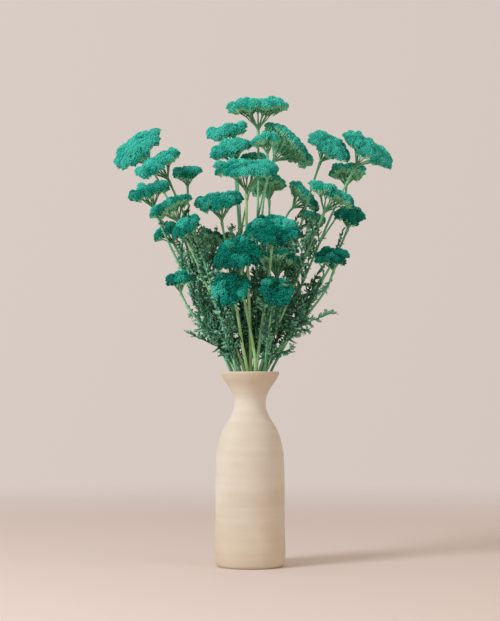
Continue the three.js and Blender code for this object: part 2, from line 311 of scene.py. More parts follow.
def joinedCopy(name):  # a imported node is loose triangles, so a copy of it is joined up and read
    solid = bmesh.new()
    solid.from_mesh(nodes[name].data)
    bmesh.ops.remove_doubles(solid, verts=solid.verts, dist=1e-6)
    return solid


class Head:  # where a packed head stands, which way it faces and how wide it is
    def __init__(self, name):
        solid = joinedCopy(name)
        points = np.array([vertex.co for vertex in solid.verts])
        self.name = name
        self.skin = BVHTree.FromBMesh(solid)
        solid.free()
        middle = points.mean(0)
        axis = np.linalg.svd(points - middle)[2][2]
        order = np.argsort(np.linalg.norm(np.cross(points - middle, axis), axis=1))
        poles = order[:2]
        outer = order[-layout["rimRings"] * (len(points) - 2) // layout["rings"]:]
        height = (points - middle) @ axis
        if height[outer].mean() > height[poles].mean():
            height = -height
        low, high = sorted(poles, key=lambda i: height[i])
        self.axis = Vector(points[high] - points[low]).normalized()
        radial = np.linalg.norm(np.cross(points - points[low], np.array(self.axis)), axis=1)
        self.radius = radial[outer].mean() / layout["rimRingsReach"]
        cup = layout["cupShare"] * self.radius - layout["cupDrop"]
        self.middle = Vector(points[low]) - self.axis * cup
        depth = layout["hubDepth"] + layout["hubDepthShare"] * self.radius
        self.hub = self.middle - self.axis * depth
        self.side = (Vector((1, 0, 0)) - self.axis * self.axis.x).normalized()
        self.across = self.axis.cross(self.side)
        self.rays = next(rays for radius, rays in layout["rayCounts"] if self.radius > radius)

    def outward(self, angle):
        return self.side * math.cos(angle) + self.across * math.sin(angle)

    def rimAt(self, angle):  # how far out the rim lies
        far = 1.5 * self.radius
        way = self.outward(angle)
        hit = self.skin.ray_cast(self.middle + way * far, -way)
        return far - hit[3] if hit[0] else self.radius

    def topAt(self, angle, reach):  # the point of the crown at that reach from the axis
        level = self.middle + self.outward(angle) * reach
        hit = self.skin.ray_cast(level + self.axis * self.radius, -self.axis)
        return hit[0] or level


def roundedLine(points, steps):  # a centripetal Catmull-Rom line through the points
    ends = [points[0] * 2 - points[1], *points, points[-1] * 2 - points[-2]]
    line = []
    for i in range(1, len(ends) - 2):
        a, b, c, d = ends[i - 1:i + 3]
        s, t, u = [max((q - p).length ** 0.5, 1e-6) for p, q in ((a, b), (b, c), (c, d))]
        leave = ((b - a) / s - (c - a) / (s + t) + (c - b) / t) * t
        arrive = ((c - b) / t - (d - b) / (t + u) + (d - c) / u) * t
        for k in range(steps):
            x = k / steps
            line.append(
                b * (2 * x ** 3 - 3 * x ** 2 + 1) + leave * (x ** 3 - 2 * x ** 2 + x)
                + c * (3 * x ** 2 - 2 * x ** 3) + arrive * (x ** 3 - x ** 2)
            )
    return line + [points[-1].copy()]


def bezierLine(start, leave, arrive, end, steps):
    line = []
    for k in range(steps + 1):
        x = k / steps
        line.append(
            start * (1 - x) ** 3 + leave * (3 * x * (1 - x) ** 2)
            + arrive * (3 * x ** 2 * (1 - x)) + end * x ** 3
        )
    return line


def denser(line):
    return [a.lerp(b, k / 4) for a, b in zip(line, line[1:]) for k in range(4)] + [line[-1]]


def stemLine(name, head):  # from the foot on the vase's floor, up the neck and out to the hub
    corners = np.array([vertex.co for vertex in nodes[name].data.vertices])
    foot = Vector(corners[corners[:, 2] < corners[:, 2].min() + 1e-5].mean(0))
    neck = Vector((foot.x, foot.y, layout["neckTop"]))
    lip = Vector((foot.x * layout["rimSpread"], foot.y * layout["rimSpread"], layout["lipTop"]))
    lean = head.hub - lip
    arrive = (head.axis * layout["arrival"] + lean.normalized()).normalized()
    near = head.hub - arrive * (layout["bend"] * lean.length)
    corners = [neck, lip, lip.lerp(near, 0.5), near, head.hub]
    return [foot, *roundedLine(corners, layout["stemSteps"])]


def branchLine(stem, head):  # leaves the stem below its hub for the side head
    start = next(
        i for i in range(len(stem) - 1, 0, -1)
        if (stem[i] - head.hub).length > layout["branchLength"]
    )
    reach = (stem[start] - head.hub).length
    first, last = layout["branchPull"]
    leave = stem[start] + (stem[start + 1] - stem[start - 1]).normalized() * first * reach
    arrive = head.hub - head.axis * last * reach
    return bezierLine(stem[start], leave, arrive, head.hub, layout["branchSteps"])


class Plant:  # one packed stem with its head or heads
    def __init__(self, number):
        self.number = number
        self.stemName = f"stem_{number}"
        names = [name for name in (f"head_{number}", f"head_{number}_side") if name in nodes]
        self.heads = [Head(name) for name in names]
        self.lines = [stemLine(self.stemName, self.heads[0])]
        if len(self.heads) > 1:
            self.lines.append(branchLine(self.lines[0], self.heads[1]))


plants = [Plant(name[-2:]) for name in sorted(nodes) if name.startswith("stem_")]
print("frame read:", len(plants), "stems and", sum(len(p.heads) for p in plants), "heads")

# Tufts: a head is a crowd of small umbrellas, each a fan of florets on one twig

tuftStyle = {
    "spacing": 0.0098,
    "ringSpacing": 0.93,
    "inset": 0.0044,
    "depth": 0.0078,
    "proud": 0.0012,
    "rise": 0.0012,
    "rimRise": 0.0016,
    "swell": 0.0035,
    "swellSize": 0.021,
    "swellSpan": (2.8, -0.6),
    # a clump's rise lightens its tufts, so low clumps are painted darker as painted shade in the
    # grooves; the second share is random tone
    "swellShadeAndTone": (0.95, 0.2),
    "domeSlope": 0.4,
    "sway": 5.4,
    "turnShift": 0.2,
    "reachShift": (-0.05, 0.02),
    "sizes": (0.88, 1.16),
    "stretch": (1.0, 1.35),
    "variants": 5,
}
tuftAttributes = {
    "facing": "FLOAT_VECTOR",
    "size": "FLOAT_VECTOR",
    "spin": "FLOAT",
    "tone": "FLOAT",
    "variant": "INT",
}


def layTufts(head, draw):
    inner = head.radius - tuftStyle["inset"]
    rings = max(2, round(inner / (tuftStyle["spacing"] * tuftStyle["ringSpacing"])))
    grooveShade, loose = tuftStyle["swellShadeAndTone"]
    steep, low = tuftStyle["swellSpan"]
    shift = tuftStyle["turnShift"]
    tufts = []
    for ring in range(rings + 1):
        share = ring / rings
        count = max(1, round(math.tau * share * inner / tuftStyle["spacing"]))
        turn = draw.uniform(0, math.tau)
        for k in range(count):
            angle = turn + math.tau * (k + draw.uniform(-shift, shift)) / count
            rim = head.rimAt(angle) - tuftStyle["inset"]
            reach = rim * share * (1 + draw.uniform(*tuftStyle["reachShift"]))
            tilt = math.atan(tuftStyle["domeSlope"] * share)
            facing = head.axis * math.cos(tilt) + head.outward(angle) * math.sin(tilt)
            sway = Vector([draw.gauss(0, 1) for _ in range(3)])
            facing = (facing + sway * math.radians(tuftStyle["sway"])).normalized()
            top = head.topAt(angle, reach)
            swell = steep * abs(noise.noise(top / tuftStyle["swellSize"])) + low
            rise = draw.uniform(-1, 1) * tuftStyle["rise"]
            rise += tuftStyle["proud"] + tuftStyle["rimRise"] * share ** 3
            top += head.axis * (swell * tuftStyle["swell"] + rise)
            size = draw.uniform(*tuftStyle["sizes"])
            stretch = draw.uniform(*tuftStyle["stretch"])
            tufts.append({
                "facing": facing,
                "base": top - facing * tuftStyle["depth"] * size,
                "size": (size * stretch, size / stretch, size),
                "spin": draw.uniform(0, math.tau),
                "variant": draw.randrange(tuftStyle["variants"]),
                "angle": angle % math.tau,
                "reach": reach,
                # painted shade: lower clumps darker, with a random tone on top
                "tone": 0.5 + swell * grooveShade + draw.uniform(-1, 1) * loose,
            })
    return tufts


floretStyle = {  # a floret's own shape is in shares of its radius: reach, height and cup shade
    "radius": 0.00182,
    "petals": 5,
    "heart": -0.12,
    "tip": (1.0, 0.34, 0.3),
    "notch": (0.76, 0.12, 0.22),
    "stalk": 5.4,
    "count": 20,
    "opening": 80,
    "openings": (0.93, 1.07),
    "turns": (-0.25, 0.25),
    "tuftRadius": 0.0070,
    "reaches": (0.95, 1.05),
    "sizes": (0.8, 1.2),
    "nod": 0.3,
    "lift": 0.9,
    # florets at a tuft's crown are painted lighter than those drooping at its edge, as painted light
    # and shade, plus a random fleck
    "fleck": (0.65, 0.35),
}


def floretMesh():  # five petals turned up at their tips, over a cup that narrows to its stalk
    petals = floretStyle["petals"]
    points, faces = [(0, 0, floretStyle["heart"]), (0, 0, -floretStyle["stalk"])], []
    cup = [0.0, 1.0]
    for k in range(2 * petals):
        angle = math.pi * k / petals
        reach, height, shade = floretStyle["notch" if k % 2 else "tip"]
        points.append((reach * math.cos(angle), reach * math.sin(angle), height))
        cup.append(shade)
        here, following = 2 + k, 2 + (k + 1) % (2 * petals)
        faces += [(0, here, following), (1, following, here)]
    points = [Vector(point) * floretStyle["radius"] for point in points]
    mesh = newMesh("floret", points, faces=faces)
    addAttribute(mesh, "cup", cup)
    return mesh


coreStyle = {"sunk": 0.0054, "thickness": 0.0009, "shares": (0.2, 0.4, 0.58, 0.74), "around": 20}


def coreMesh(head):  # a thin dished disc under the florets, where their stalks crowd together, coloured as painted shade deep in the head
    around = coreStyle["around"]
    sheets, points, faces = [], [], []
    for sunk in (coreStyle["sunk"], coreStyle["sunk"] + coreStyle["thickness"]):
        rows = [[len(points)]]
        points.append(head.topAt(0, 0) - head.axis * sunk)
        for share in coreStyle["shares"]:
            rows.append(range(len(points), len(points) + around))
            for k in range(around):
                angle = math.tau * k / around
                points.append(head.topAt(angle, head.rimAt(angle) * share) - head.axis * sunk)
        sheets.append(rows)
    upper, lower = sheets[0][-1], sheets[1][-1]
    for k in range(around):
        n = (k + 1) % around
        for side, rows in enumerate(sheets):
            fan = [(rows[0][0], rows[1][k], rows[1][n])]
            fan += [(a[k], b[k], b[n], a[n]) for a, b in zip(rows[1:], rows[2:])]
            faces += [face[::-1] for face in fan] if side else fan
        faces.append((upper[k], lower[k], lower[n], upper[n]))
    mesh = newMesh("core", points, faces=faces)
    # a cup of 0 gives the disc the dark floret-heart colour: painted shade
    addAttribute(mesh, "cup", [0.0] * len(points))
    return mesh


goldenAngle = math.pi * (3 - math.sqrt(5))


def headTree(material):
    tree = newGeometryTree("headOfFlorets", {"Floret": None, "Core": None, "Seed": 0})

    def drawn(low, high, seed, kind="FLOAT"):
        made = {"Min": low, "Max": high, "Seed": tree.entry["Seed"] + seed}
        return tree.add("FunctionNodeRandomValue", made, data_type=kind)

    def fanOfFlorets(variant):  # spread as seeds are in a flower; each draw has its own seeds
        index = tree.add("GeometryNodeInputIndex")
        share = (index + 0.5) / floretStyle["count"]
        turn = index * goldenAngle + drawn(*floretStyle["turns"], variant)
        opening = share.maths("SQRT") * math.radians(floretStyle["opening"])
        opening = opening * drawn(*floretStyle["openings"], variant + 20)
        sine = opening.maths("SINE")
        way = tree.point(
            sine * turn.maths("COSINE"), sine * turn.maths("SINE"), opening.maths("COSINE"),
        )
        reach = drawn(*floretStyle["reaches"], variant + 40) * floretStyle["tuftRadius"]
        spots = {"Count": floretStyle["count"], "Position": tree.scaled(way, reach)}
        nod = drawn((-1, -1, -1), (1, 1, 1), variant + 120, "FLOAT_VECTOR")
        nod = tree.vector(
            "MULTIPLY_ADD", nod, (floretStyle["nod"],) * 3, (0, 0, floretStyle["lift"]),
        )
        spin = drawn(0.0, 6.28, variant + 60)
        fan = tree.add("GeometryNodeInstanceOnPoints", {
            "Points": tree.add("GeometryNodePoints", spots),
            "Instance": tree.mesh("Floret"),
            "Rotation": tree.facing(tree.vector("ADD", way, nod), spin),
            "Scale": drawn(*floretStyle["sizes"], variant + 80),
        })
        # painted light: a fan's middle florets, at the tuft's crown, lighter than its outer ones,
        # plus a random fleck
        high, loose = floretStyle["fleck"]
        fleck = (1 - share) * high + drawn(0.0, loose, variant + 100)
        fan = tree.store(fan, "fleck", fleck, "INSTANCE")
        return tree.add("GeometryNodeGeometryToInstance", {"Geometry": fan})

    fans = [fanOfFlorets(variant) for variant in range(tuftStyle["variants"])]
    tufts = tree.add("GeometryNodeInstanceOnPoints", {
        "Points": tree.entry["Geometry"], "Pick Instance": True,
        "Instance": tree.joined(*fans),
        "Instance Index": tree.read("variant", "INT"),
        "Rotation": tree.facing(tree.read("facing", "FLOAT_VECTOR"), tree.read("spin")),
        "Scale": tree.read("size", "FLOAT_VECTOR"),
    })
    return endGeometryTree(tree, tree.joined(tufts, tree.mesh("Core")), material)


petalShades = {
    "paintedHighlight": colour(84, 222, 204),
    "light": colour(8, 160, 140),
    "mid": colour(0, 106, 90),
    "deepShade": colour(0, 44, 36),
    "cup": colour(154, 222, 178),
    "driftScale": 20.0,
    "grainScale": 1400.0,
    "uneven": (0.7, 0.1, 0.5),
    "bright": (0.55, 0.6),
    "fadedAndLitHeights": (0.41, 0.67),
    "shadedHeartSpan": (0.25, 0.8),
    "litEdgeSpan": (0.15, 0.5),
    "paintedHighlightSpan": (0.5, 1.05),
    "petalSpan": (0.05, 0.28),
    "cupSpan": (0.34, 0.55),
    "bump": (0.5, 0.0003),
    "roughness": (0.75, 0.2),
    "specular": 0.12,
}


def headMaterial():  # the upper heads are palest, partly as fading and partly as painted light; floret hearts are painted dark and petal tips light, as painted shade and painted highlight
    shades = petalShades
    material, tree = newMaterial("tealFlorets")
    place = tree.place()
    # paler with height: partly fading, partly painted light on the top of the bunch
    fadedAndLit = tree.span(tree.axes(place)[2], *shades["fadedAndLitHeights"])
    drift = tree.noise(place, shades["driftScale"])
    grain = tree.noise(place, shades["grainScale"], 1.0)
    cup = tree.painted("cup")
    # this mixes painted shade and light, from the clumps and the tuft crowns, with random tone and
    # drift
    uneven = tree.weighed(shades["uneven"], tree.painted("tone"), drift, tree.painted("fleck"))
    bright = tree.weighed(shades["bright"], uneven, fadedAndLit)
    # floret hearts are painted dark as painted shade in their hollows; petal tips are painted light,
    # the brightest as painted highlight
    heart = tree.blend(bright, shades["shadedHeartSpan"], shades["deepShade"], shades["mid"])
    edge = tree.blend(bright, shades["litEdgeSpan"], shades["mid"], shades["light"])
    edge = tree.blend(bright, shades["paintedHighlightSpan"], edge, shades["paintedHighlight"])
    petal = tree.blend(cup, shades["petalSpan"], heart, edge)
    base = tree.blend(cup, shades["cupSpan"], petal, shades["cup"])
    finishMaterial(tree, base, grain, grain, shades)
    return material


def growHead(head, seed, draw):
    head.tufts = layTufts(head, draw)
    points = newMesh("tufts", [tuft["base"] for tuft in head.tufts])
    addAttributes(points, tuftAttributes, head.tufts)
    core = bpy.data.objects.new("core", coreMesh(head))
    values = {"Floret": floretObject, "Core": core, "Seed": seed}
    piece = grow(head.name + "_florets", points, headGrower, values)
    bpy.data.objects.remove(core)
    handOver(piece, head.name)


floretObject = bpy.data.objects.new("floret", floretMesh())
headGrower = headTree(headMaterial())
for order, plant in enumerate(plants):
    for place, head in enumerate(plant.heads):
        growHead(head, 10 * order + place, random.Random(1000 * order + place + 7))
bpy.data.objects.remove(floretObject)
print("heads grown:", sum(len(head.tufts) for plant in plants for head in plant.heads), "tufts")

# Stems: ridged stalks that fork below each head, fork again, and end in one twig for each tuft

stalkInputs = {"Ridges": 8, "Ridge Depth": 0.14, "Twig Sides": 3}
twigStyle = {  # the last three: steps along it, and its radius at both ends
    "slim": 0.95,
    "ripeGirth": 0.25,
    "ripeMiddle": 0.0085,
    "ripeFront": (0.4, 0.009),
    "ripeRays": 0.2,
    "bow": 0.0006,
    "bowEnd": 4,
    "hubSwell": (1.0, 0.7, 0.3),
    "raysEach": 2,
    "raySunk": 0.001,
    "rayLean": 0.6,
    "forkPull": (0.4, 0.35),
    "firstFork": 0.52,
    "secondFork": 0.55,
    "group": 3,
    "tuftSunk": 0.002,
    "ray": (5, 0.0013, 0.0011),
    "fork": (4, 0.0010, 0.0008),
    "twig": (3, 0.00062, 0.00052),
}
strandAttributes = {"girth": "FLOAT", "ripe": "FLOAT", "thick": "BOOLEAN"}


def strandOf(line, girths, ripe, thick=False):
    return [
        {"place": place, "girth": girth, "ripe": ripe, "thick": thick}
        for place, girth in zip(line, girths)
    ]


def tapered(line, first, last):
    steps = len(line) - 1
    return [first + (last - first) * k / steps for k in range(steps + 1)]


def forkStrand(start, way, end, arrive, ripe, kind):
    steps, thick, thin = twigStyle[kind]
    first, last = twigStyle["forkPull"]
    reach = (end - start).length
    line = bezierLine(start, start + way * reach * first, end - arrive * reach * last, end, steps)
    return strandOf(line, tapered(line, thick, thin), ripe)


def growRays(head, strands, ripe):
    count = twigStyle["raysEach"] * head.rays
    sectors = [[] for _ in range(count)]
    for tuft in head.tufts:
        sectors[int(tuft["angle"] / math.tau * count) % count].append(tuft)
    for members in filter(None, sectors):
        members.sort(key=lambda tuft: tuft["reach"])
        centre = sum((tuft["base"] for tuft in members), Vector()) / len(members)
        first = head.hub.lerp(centre, twigStyle["firstFork"])
        way = (first - head.hub).normalized()
        root = head.hub - head.axis * twigStyle["raySunk"]
        leave = (way * twigStyle["rayLean"] + head.axis).normalized()
        strands.append(forkStrand(root, leave, first, way, ripe, "ray"))
        for k in range(0, len(members), twigStyle["group"]):
            group = members[k:k + twigStyle["group"]]
            middle = sum((tuft["base"] for tuft in group), Vector()) / len(group)
            second = first.lerp(middle, twigStyle["secondFork"])
            onward = (middle - first).normalized()
            strands.append(forkStrand(first, way, second, onward, ripe, "fork"))
            for tuft in group:
                end = tuft["base"] + tuft["facing"] * twigStyle["tuftSunk"]
                strands.append(forkStrand(second, onward, end, tuft["facing"], ripe, "twig"))


def stalkStrand(line, first, last, hub, ripe):
    girths = tapered(line, first, last)
    for k, swell in enumerate(twigStyle["hubSwell"], 1):
        girths[-k] += (hub - last) * swell
    return strandOf(line, girths, ripe, True)


def stalkTree(material):
    tree = newGeometryTree("stalks", stalkInputs)
    lines = tree.add("GeometryNodeMeshToCurve", {"Mesh": tree.entry["Geometry"]})
    choice = {"Geometry": lines, "Selection": tree.read("thick", "BOOLEAN")}
    thick = tree.add("GeometryNodeSeparateGeometry", choice, domain="CURVE")
    index = tree.add("GeometryNodeInputIndex")
    inner = 1 - tree.entry["Ridge Depth"] * index.maths("MODULO", index, 2)
    position = tree.add("GeometryNodeInputPosition")
    circle = tree.circle(tree.entry["Ridges"] * 2)
    ridged = tree.moved(circle, Position=tree.scaled(position, inner))
    twigs = tree.tube(thick.output("Inverted"), tree.circle(tree.entry["Twig Sides"]))
    return endGeometryTree(tree, tree.smoothed(tree.tube(thick, ridged), twigs), material)


stalkShades = {
    "green": colour(96, 172, 128),
    "pale": colour(146, 212, 168),
    "ripe": colour(172, 208, 138),
    "dark": colour(56, 112, 76),
    "driftScale": 16.0,
    "paleSpan": (0.3, 0.7),
    "streakScale": (900.0, 900.0, 40.0),
    "streakSpan": (0.52, 0.75, 0.0, 0.6),
    "bump": (0.4, 0.0003),
    "roughness": (0.62, 0.2),
    "specular": 0.3,
}


def stalkMaterial():
    shades = stalkShades
    material, tree = newMaterial("driedStalk")
    place = tree.place()
    streaks = tree.noise(place, shades["streakScale"])
    drift = tree.noise(place, shades["driftScale"])
    base = tree.blend(drift, shades["paleSpan"], shades["green"], shades["pale"])
    base = tree.mixed(tree.painted("ripe"), base, shades["ripe"])
    base = tree.blend(streaks, shades["streakSpan"], base, shades["dark"])
    finishMaterial(tree, base, streaks, streaks, shades)
    return material


def lineMesh(name, kinds, rows):  # one line for each row of places, with the values held there
    points, edges = [], []
    for row in rows:
        first = len(points)
        points += [station["place"] for station in row]
        edges += [(k, k + 1) for k in range(first, len(points) - 1)]
    mesh = newMesh(name, points, edges)
    addAttributes(mesh, kinds, [station for row in rows for station in row])
    return mesh


def growStalk(plant, draw):
    stem = plant.lines[0]
    level, fall = twigStyle["ripeFront"]
    ripe = max(0.0, 1 - abs(stem[0].x) / twigStyle["ripeMiddle"])
    ripe *= max(0.0, min(1.0, level - stem[0].y / fall))
    bow = Vector([draw.gauss(0, twigStyle["bow"]) for _ in range(3)])
    free = range(layout["stemSteps"], len(stem) - twigStyle["bowEnd"])
    for k in free:
        stem[k] = stem[k] + bow * math.sin(math.tau * (k - free.start) / len(free))
    slim = twigStyle["slim"] + twigStyle["ripeGirth"] * ripe
    strands = [stalkStrand(
        stem, layout["footRadius"] * slim, layout["topRadius"] * slim, layout["hubRadius"], ripe,
    )]
    for branch in plant.lines[1:]:
        radius = layout["branchRadius"]
        strands.append(stalkStrand(branch, radius, radius, layout["branchHubRadius"], ripe))
    for head in plant.heads:
        growRays(head, strands, ripe * twigStyle["ripeRays"])
    mesh = lineMesh("stalkLines", strandAttributes, strands)
    piece = grow(f"stalk_{plant.number}", mesh, stalkGrower, stalkInputs)
    handOver(piece, plant.stemName)


stalkGrower = stalkTree(stalkMaterial())
for order, plant in enumerate(plants):
    growStalk(plant, random.Random(300 + order))
print("stalks grown")

# Leaves: curled ferny blades on the stems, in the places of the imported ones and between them

leafStyle = {
    "clear": 0.0036,
    "fewest": 14,
    "stalk": 0.008,
    "archPoints": 12,
    "halves": (0.55, 0.45),
    "steps": 3,
    "points": 12,
    "lobes": 8,
    "reach": 0.0080,
    "begin": 0.12,
    "taper": (0.1, 1.15, 0.6),
    "fold": (-0.4, 1.2),
    "crinkleScale": 55.0,
    "unevennessScale": 130.0,
    "ribGirth": (0.0009, 0.0004),
    "ribSides": 4,
}
leafInputs = {
    "Lobe Fold": 2.2,
    "Lobe Curl": 1.5,
    "Smallest Lobe": 0.5,
    "Largest Lobe": 1.4,
    "Crinkle": 0.024,
    "Unevenness": 0.009,
}
leafAttributes = {
    "blade": "FLOAT_VECTOR",
    **dict.fromkeys(("reach", "girth", "along", "fold", "tone", "begin"), "FLOAT"),
}
bladeStyle = {  # in lobes along the blade, and shares of its reach across and above it
    "lobe": [(0.10, 0.16), (0.13, 0.58), (0.36, 0.96), (0.74, 1.0), (0.92, 0.66), (0.86, 0.32)],
    "sweep": 0.7,
    "ribStart": 0.1,
    "ribHeight": 0.06,
    "lobeMiddle": (0.52, 0.42, 0.05),
    "lastCorner": (0.1, 0.16),
}
smallLeaves = {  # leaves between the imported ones
    "count": 16,
    "middleCount": 24,
    "middle": (-0.06, -0.05),
    "heights": (0.284, 0.49),
    "length": (0.030, 0.062),
    "reach": (0.0055, 0.0092),
    "opening": (0.25, 1.0),
    "curl": (-0.9, 2.4),
    "twist": (-2.4, 2.4),
    "begin": 0.12,
}
longLeaves = {  # upright ones, from low on the stems
    **smallLeaves,
    "count": 2,
    "heights": (0.278, 0.33),
    "length": (0.070, 0.125),
    "opening": (0.02, 0.2),
    "curl": (-0.2, 0.5),
    "begin": 0.3,
}
room = {  # where those leaves grow, which is tested at every fourth place on their arch
    "every": 4,
    "inwardBeyond": 0.02,
    "bareCentre": 0.02,
    "bareFront": -0.002,
    "openFront": -0.012,
    "openTop": 0.40,
    "edges": ((0.036, 0.282, 0.71), (0.075, 0.350, 0.45)),
    "shoulder": (0.075, 0.49),
    "fall": 0.9,
}
fronds = [  # leaves that stand out low at the sides: the spot they leave, their way and size
    {"spot": (-0.047, 0.318), "way": (-0.66, -0.3, 0.72), "length": 0.048, "curl": 0.3},
    {"spot": (0.056, 0.344), "way": (0.9, -0.3, 0.42), "length": 0.064, "curl": 0.2},
    {"spot": (0.044, 0.322), "way": (0.7, -0.4, 0.8), "length": 0.048, "curl": 0.6},
    {"spot": (0.034, 0.300), "way": (0.8, -0.4, 0.75), "length": 0.042, "curl": 0.5},
    {"spot": (0.050, 0.334), "way": (0.5, -0.6, 0.8), "length": 0.046, "curl": 0.4},
    {"spot": (-0.034, 0.298), "way": (-0.6, -0.5, 0.8), "length": 0.036, "curl": 0.2},
    {"spot": (-0.042, 0.312), "way": (-0.3, -0.6, 0.9), "length": 0.042, "curl": 0.3},
]
frondStyle = {"reach": 0.0115, "frontShare": 0.3}


def looseCorners(plant, solid):  # those away from stem and rays, in an order that stays the same
    points = [point for line in plant.lines for point in denser(line)]
    checks, steps = layout["rayChecks"], layout["rayCheckSteps"]
    for head in plant.heads:
        for k in range(checks):
            aim = head.middle + head.outward(math.tau * k / checks) * head.radius * layout["rayReach"]
            points += [head.hub.lerp(aim, step / steps) for step in range(steps + 1)]
    points = np.array(points)
    return {
        vertex: True for vertex in solid.verts
        if np.linalg.norm(points - np.array(vertex.co), axis=1).min() > leafStyle["clear"]
    }


def packedLeaves(plant):  # finds each packed leaf again: its arch, and the way that its blade lies
    solid = joinedCopy(plant.stemName)
    stemPoints = np.array([point for line in plant.lines for point in denser(line)])
    loose = looseCorners(plant, solid)
    leaves = []
    while loose:
        group, edge = [], [loose.popitem()[0]]
        while edge:
            vertex = edge.pop()
            group.append(np.array(vertex.co))
            for link in vertex.link_edges:
                other = link.other_vert(vertex)
                if other in loose:
                    loose.pop(other)
                    edge.append(other)
        if len(group) >= leafStyle["fewest"]:
            leaves.append(fitLeaf(np.array(group), stemPoints))
    solid.free()
    return leaves


def fitLeaf(points, stem):
    middle = points.mean(0)
    chord = np.linalg.svd(points - middle)[2][0]
    along = (points - middle) @ chord
    ends = [points[along.argmin()], points[along.argmax()]]
    gaps = [np.linalg.norm(stem - end, axis=1).min() for end in ends]
    if gaps[0] > gaps[1]:
        along = -along
    along = (along - along.min()) / (along.max() - along.min())
    arch = [np.polyfit(along, points[:, k], 2) for k in range(3)]
    stations = np.linspace(0, 1, leafStyle["archPoints"])
    path = [Vector([np.polyval(arch[k], t) for k in range(3)]) for t in stations]
    root = path[0] - (path[1] - path[0]).normalized() * leafStyle["stalk"]
    root = Vector(stem[np.linalg.norm(stem - np.array(root), axis=1).argmin()])
    off = points - np.stack([np.polyval(arch[k], along) for k in range(3)], 1)
    lower, upper = leafStyle["halves"]
    blades = [Vector(np.linalg.svd(off[part])[2][0]) for part in (along < lower, along > upper)]
    if blades[1].dot(blades[0]) < 0:
        blades[1].negate()
    return {
        "path": [root, *path], "blades": blades,
        "reach": leafStyle["reach"], "begin": leafStyle["begin"],
    }


def archedLeaf(root, heading, across, length, curl, steps=12):
    across = across.normalized()
    path = [root]
    for _ in range(steps):
        path.append(path[-1] + heading * (length / steps))
        heading = Quaternion(across, -curl / steps) @ heading
    return {"path": path, "blades": [across, across.copy()]}


def drawnLeaf(plant, draw, style):
    line = plant.lines[0]
    height = draw.uniform(*style["heights"])
    k = next((i for i, point in enumerate(line) if point.z > height), len(line) // 2)
    along = (line[k] - line[k - 1]).normalized()
    root = line[k].lerp(line[k - 1], draw.random())
    turn = draw.uniform(0, math.tau)
    out = Vector((math.cos(turn), math.sin(turn), 0))
    if abs(root.x) > room["inwardBeyond"] and out.x * root.x > 0:
        out.x = -out.x
    out = (out - along * out.dot(along)).normalized()
    opening = draw.uniform(*style["opening"])
    heading = along * math.cos(opening) + out * math.sin(opening)
    length, curl = draw.uniform(*style["length"]), draw.uniform(*style["curl"])
    leaf = archedLeaf(root, heading, heading.cross(out), length, curl)
    twist = Quaternion(heading, draw.uniform(*style["twist"]))
    leaf["blades"][1] = twist @ leaf["blades"][0]
    return {**leaf, "reach": draw.uniform(*style["reach"]), "begin": style["begin"]}


def hasRoom(leaf):  # the front of the middle and the outer sides stay bare
    root = leaf["path"][0]
    middle = abs(root.x)
    if middle < room["bareCentre"] and root.y < room["bareFront"]:
        return False
    for spot in leaf["path"][::room["every"]]:
        inFront = spot.y < room["openFront"] and spot.z < room["openTop"]
        if inFront and abs(spot.x) < room["bareCentre"]:
            return False
        if abs(spot.x) > min(x + (spot.z - z) * slope for x, z, slope in room["edges"]):
            return False
    place, height = room["shoulder"]
    return root.z < height - room["fall"] * abs(middle - place)


def placedFronds():  # each leaves the front stem that passes nearest its spot
    rows = [[] for _ in plants]
    front = frondStyle["frontShare"]
    for frond in fronds:
        x, height = frond["spot"]
        near = [
            (abs(point.x - x) + abs(point.z - height) + point.y * front, order, point)
            for order, plant in enumerate(plants) for point in denser(plant.lines[0])
        ]
        order, root = min(near, key=lambda place: place[0])[1:]
        way = Vector(frond["way"]).normalized()
        leaf = archedLeaf(root, way, way.cross((0, 0, 1)), frond["length"], frond["curl"])
        leaf.update(reach=frondStyle["reach"], begin=leafStyle["begin"])
        rows[order].append(leaf)
    return rows


def bladeMesh():  # a flat lobed blade, 0 to 1 along X and -1 to 1 across: two sheets with one edge
    lobes = leafStyle["lobes"]
    blade = bmesh.new()
    number = blade.verts.layers.float.new("lobe")

    def corner(x, y, z=0.0, lobe=0):
        swept = x + bladeStyle["sweep"] * abs(y)
        made = blade.verts.new((swept / (lobes + 1), y, z))
        made[number] = lobe + (0.3 if y > 0 else 0.0)
        return made

    def face(corners, turned):
        blade.faces.new(corners if turned else corners[::-1])

    high = bladeStyle["ribHeight"]
    ribs = [
        [corner(bladeStyle["ribStart"] + i, 0, z if 0 < i else 0) for z in (high, -high)]
        for i in range(lobes + 1)
    ]
    tip = corner(lobes + 1, 0)
    x, y, swell = bladeStyle["lobeMiddle"]
    endX, endY = bladeStyle["lastCorner"]
    for hand in (1, -1):
        edges = [[corner(i + a, hand * b, 0, i) for a, b in bladeStyle["lobe"]] for i in range(lobes)]
        edges.append([corner(lobes + endX, hand * endY, 0, lobes)])
        for sheet, z in enumerate((swell, -swell)):
            turned = (hand == 1) == (sheet == 0)
            for i in range(lobes):
                middle = corner(i + x, hand * y, z, i)
                ring = [ribs[i][sheet], *edges[i], edges[i + 1][0], ribs[i + 1][sheet]]
                for a, b in zip(ring, [*ring[1:], ring[0]]):
                    face((middle, b, a), turned)
            face((edges[lobes][0], ribs[lobes][sheet], tip), turned)
    bmesh.ops.remove_doubles(blade, verts=blade.verts, dist=1e-6)
    return keptMesh("blade", blade)


